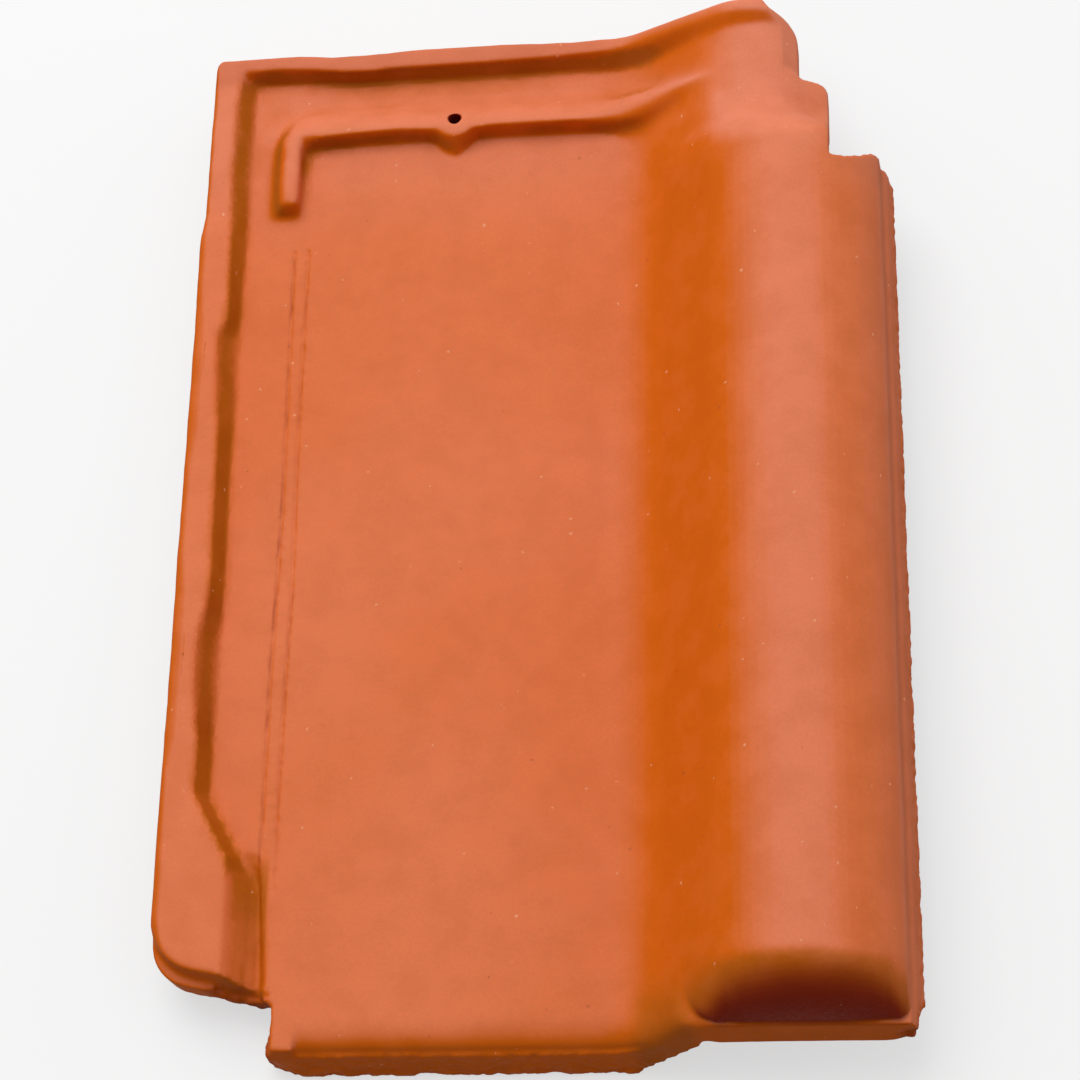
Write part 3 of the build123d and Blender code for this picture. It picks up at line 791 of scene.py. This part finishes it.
grainValues = {
    "scale": 900.0,
    "broadShare": 0.3,
    "contrast": (0.3, 0.7),
    "fineHeight": 0.6,
    "broadHeight": 0.9,
}
speckValues = {
    "wobbleScale": 1400,
    "wobble": 0.0014,
    "smallest": 0.4,
    "edge": (0, 0.6),
    "lime": {"Cells": 175.0, "Size": 0.1, "Kept": 0.34},
    "ash": {"Cells": 150.0, "Size": 0.09, "Kept": 0.16},
}
cloudValues = {
    "broad": 9.0,
    "small": 70.0,
    "cloudContrast": (0.32, 0.68),
    "mottleContrast": (0.3, 0.7),
}
clay = bpy.data.materials.new("firedClay")
clay.use_nodes = True
tree = clay.node_tree
shader = tree.nodes["Principled BSDF"]
shader.inputs["Specular IOR Level"].default_value = clayValues["specular"]
vector = addNode(tree, "ShaderNodeTexCoord").outputs["Object"]
grain = placeGroup(tree, buildGrain(grainValues), vector, {})
clouds = placeGroup(tree, buildClouds(cloudValues), vector, {})
speckGroup = buildSpecks(speckValues)
limeSpecks = placeGroup(tree, speckGroup, vector, speckValues["lime"])
ashSpecks = placeGroup(tree, speckGroup, vector, speckValues["ash"])
pale = addMix(tree, clouds.outputs["Cloud"], clayValues["pale"], clayValues["paleWarm"])
# painted highlight mixed into the pale colour
pale = addMix(tree, readMask(tree, "paintedHighlight"), pale, clayValues["paintedHighlight"])
# painted shade: the deep colour turns darker where the shade attribute is
deep = addMix(tree, readMask(tree, "paintedShade"), clayValues["deep"], clayValues["deepShade"])
# painted sheen: the pale colour, mottled, where faces turn to the light
sheenMottle = addRange(tree, clouds.outputs["Mottle"], (0, 1), clayValues["sheenMottle"])
mottledSheen = addMath(tree, "ADD", readMask(tree, "paintedSheen"), sheenMottle, clamp=True)
color = addMix(tree, mottledSheen, deep, pale)
# painted shade, dark, and a plain darkening on the rim and at a corner
color = addMix(tree, readMask(tree, "shadeAndDarkening"), color, clayValues["shadeAndDarkening"])
mottle = addRange(tree, clouds.outputs["Mottle"], (0, 1), clayValues["mottleShade"], smooth=False)
grainShade = addRange(tree, grain.outputs["Grain"], (0, 1), clayValues["grainShade"], smooth=False)
shade = addMath(tree, "MULTIPLY", mottle, grainShade)
shadeColor = addNode(tree, "ShaderNodeCombineColor")
for name in ("Red", "Green", "Blue"):
    tree.links.new(shade, shadeColor.inputs[name])
color = addMix(tree, 1.0, color, shadeColor.outputs[0], "MULTIPLY")
limeMask = addMath(tree, "MULTIPLY", limeSpecks.outputs["Mask"], clayValues["limeShare"])
ashMask = addMath(tree, "MULTIPLY", ashSpecks.outputs["Mask"], clayValues["ashShare"])
color = addMix(tree, limeMask, color, clayValues["lime"])
color = addMix(tree, ashMask, color, clayValues["ash"])
tree.links.new(color, shader.inputs["Base Color"])
roughness = addRange(tree, grain.outputs["Grain"], (0, 1), clayValues["roughness"])
tree.links.new(roughness, shader.inputs["Roughness"])
bump = addNode(tree, "ShaderNodeBump")
bump.inputs["Strength"].default_value = clayValues["bump"]
bump.inputs["Distance"].default_value = clayValues["bumpDepth"]
tree.links.new(grain.outputs["Height"], bump.inputs["Height"])
tree.links.new(bump.outputs["Normal"], shader.inputs["Normal"])
tile.data.materials.append(clay)

# floor and light
print("studio")
studioValues = {
    "floorSize": 6,
    "paper": (0.30, 0.30, 0.30),
    "paperSeen": (0.80, 0.80, 0.80),
    "glow": 0.60,
    "keySpot": (-0.34, 0.80, 1.80),
    "keySize": (1.5, 1.5),
    "keyPower": 25,
    "headSky": {"span": (-0.50, 0.30), "strength": (0.26, 0.73)},
    "rightSky": {"span": (0.1, 0.9), "strength": (0.0, 0.09)},
    "skySeen": 0.95,
}
bpy.ops.mesh.primitive_plane_add(size=studioValues["floorSize"], location=(0, 0, 0))
floor = bpy.context.object
floor.name = "floor"
paper = bpy.data.materials.new("paper")
paper.use_nodes = True
tree = paper.node_tree
tree.nodes.remove(tree.nodes["Principled BSDF"])
light = addNode(tree, "ShaderNodeLightPath")
seenDirectly = addMath(tree, "MAXIMUM", light.outputs["Is Camera Ray"], light.outputs["Is Glossy Ray"])
seenDirectly = addMath(tree, "MAXIMUM", seenDirectly, light.outputs["Is Transmission Ray"])
plain = addNode(tree, "ShaderNodeBsdfDiffuse")
setOrLink(tree, plain.inputs["Color"], studioValues["paper"])
bright = addNode(tree, "ShaderNodeBsdfDiffuse")
setOrLink(tree, bright.inputs["Color"], studioValues["paperSeen"])
glow = addNode(tree, "ShaderNodeEmission")
glowMix = addNode(tree, "ShaderNodeMixShader")
glowMix.inputs[0].default_value = studioValues["glow"]
tree.links.new(bright.outputs[0], glowMix.inputs[1])
tree.links.new(glow.outputs[0], glowMix.inputs[2])
seenMix = addNode(tree, "ShaderNodeMixShader")
tree.links.new(seenDirectly, seenMix.inputs[0])
tree.links.new(plain.outputs[0], seenMix.inputs[1])
tree.links.new(glowMix.outputs[0], seenMix.inputs[2])
tree.links.new(seenMix.outputs[0], tree.nodes["Material Output"].inputs["Surface"])
floor.data.materials.append(paper)

bpy.ops.object.light_add(type="AREA", location=studioValues["keySpot"])
lamp = bpy.context.object
lamp.name = "headLight"
lamp.data.shape = "RECTANGLE"
lamp.data.size, lamp.data.size_y = studioValues["keySize"]
lamp.data.energy = studioValues["keyPower"]
lamp.rotation_euler = (-Vector(studioValues["keySpot"])).to_track_quat("-Z", "Y").to_euler()

world = bpy.data.worlds.new("studio")
scene.world = world
world.use_nodes = True
tree = world.node_tree
direction = addNode(tree, "ShaderNodeSeparateXYZ")
tree.links.new(addNode(tree, "ShaderNodeTexCoord").outputs["Generated"], direction.inputs[0])
headSky, rightSky = studioValues["headSky"], studioValues["rightSky"]
fromHead = addRange(tree, direction.outputs["Y"], headSky["span"], headSky["strength"])
fromRight = addRange(tree, direction.outputs["X"], rightSky["span"], rightSky["strength"])
lit = addMath(tree, "ADD", fromHead, fromRight)
cameraRay = addNode(tree, "ShaderNodeLightPath").outputs["Is Camera Ray"]
seen = addMath(tree, "MULTIPLY", cameraRay, studioValues["skySeen"])
background = tree.nodes["Background"]
setOrLink(tree, background.inputs["Color"], (1, 1, 1))
tree.links.new(addMath(tree, "MAXIMUM", lit, seen), background.inputs["Strength"])
